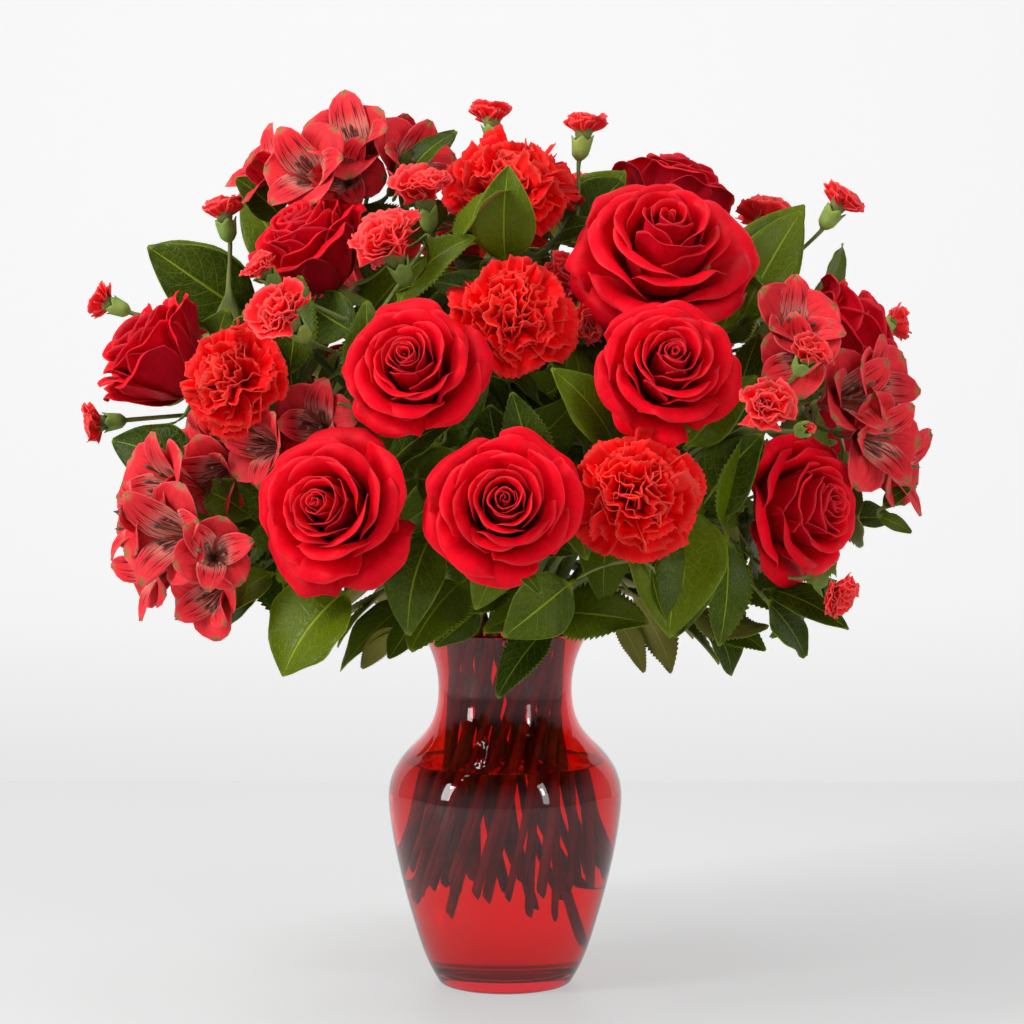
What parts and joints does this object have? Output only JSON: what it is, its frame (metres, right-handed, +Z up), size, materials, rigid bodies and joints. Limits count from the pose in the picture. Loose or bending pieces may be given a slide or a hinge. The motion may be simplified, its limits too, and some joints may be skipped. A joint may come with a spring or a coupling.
{
  "type": "carnations in a vase",
  "caption": "Bouquet of red carnations, roses, spray carnations and alstroemeria with glossy green leaves, standing in water in a waisted red glass vase.",
  "frame": {"origin": "centre of the flat underside of the vase's foot, on the surface that it stands on", "axes": "+Z up, -Y towards the bouquet's front, +X to the right when it is seen from the front"},
  "size_m": [0.4663, 0.4086, 0.4966],
  "materials": {
    "red_glass": "polished",
    "water": "polished",
    "rose_petal": "satin",
    "carnation_petal": "matte",
    "spray_carnation": "matte",
    "alstroemeria": "satin",
    "green_stem": "satin",
    "glossy_leaf": "satin"
  },
  "bodies": {
    "root": {"vase": "red_glass", "water": "water", "rose_01_bloom": "rose_petal", "rose_01_stem": "green_stem", "rose_02_bloom": "rose_petal", "rose_02_stem": "green_stem", "rose_03_bloom": "rose_petal", "rose_03_stem": "green_stem", "rose_04_bloom": "rose_petal", "rose_04_stem": "green_stem", "rose_05_bloom": "rose_petal", "rose_05_stem": "green_stem", "rose_06_bloom": "rose_petal", "rose_06_stem": "green_stem", "rose_07_bloom": "rose_petal", "rose_07_stem": "green_stem", "rose_08_bloom": "rose_petal", "rose_08_stem": "green_stem", "rose_09_bloom": "rose_petal", "rose_09_stem": "green_stem", "rose_10_bloom": "rose_petal", "rose_10_stem": "green_stem", "rose_11_bloom": "rose_petal", "rose_11_stem": "green_stem", "rose_12_bloom": "rose_petal", "rose_12_stem": "green_stem", "rose_13_bloom": "rose_petal", "rose_13_stem": "green_stem", "carnation_01_bloom": "carnation_petal", "carnation_01_stem": "green_stem", "carnation_02_bloom": "carnation_petal", "carnation_02_stem": "green_stem", "carnation_03_bloom": "carnation_petal", "carnation_03_stem": "green_stem", "carnation_04_bloom": "carnation_petal", "carnation_04_stem": "green_stem", "carnation_05_bloom": "carnation_petal", "carnation_05_stem": "green_stem", "carnation_06_bloom": "carnation_petal", "carnation_06_stem": "green_stem", "carnation_07_bloom": "carnation_petal", "carnation_07_stem": "green_stem", "spray_carnation_01": "spray_carnation", "spray_carnation_02": "spray_carnation", "spray_carnation_03": "spray_carnation", "spray_carnation_04": "spray_carnation", "spray_carnation_05": "spray_carnation", "spray_carnation_06": "spray_carnation", "alstroemeria_01": "alstroemeria", "alstroemeria_02": "alstroemeria", "alstroemeria_03": "alstroemeria", "alstroemeria_04": "alstroemeria", "alstroemeria_05": "alstroemeria", "lemon_leaf_01": "glossy_leaf", "lemon_leaf_02": "glossy_leaf", "lemon_leaf_03": "glossy_leaf", "lemon_leaf_04": "glossy_leaf", "lemon_leaf_05": "glossy_leaf", "lemon_leaf_06": "glossy_leaf", "lemon_leaf_07": "glossy_leaf"}
  },
  "joints": []
}
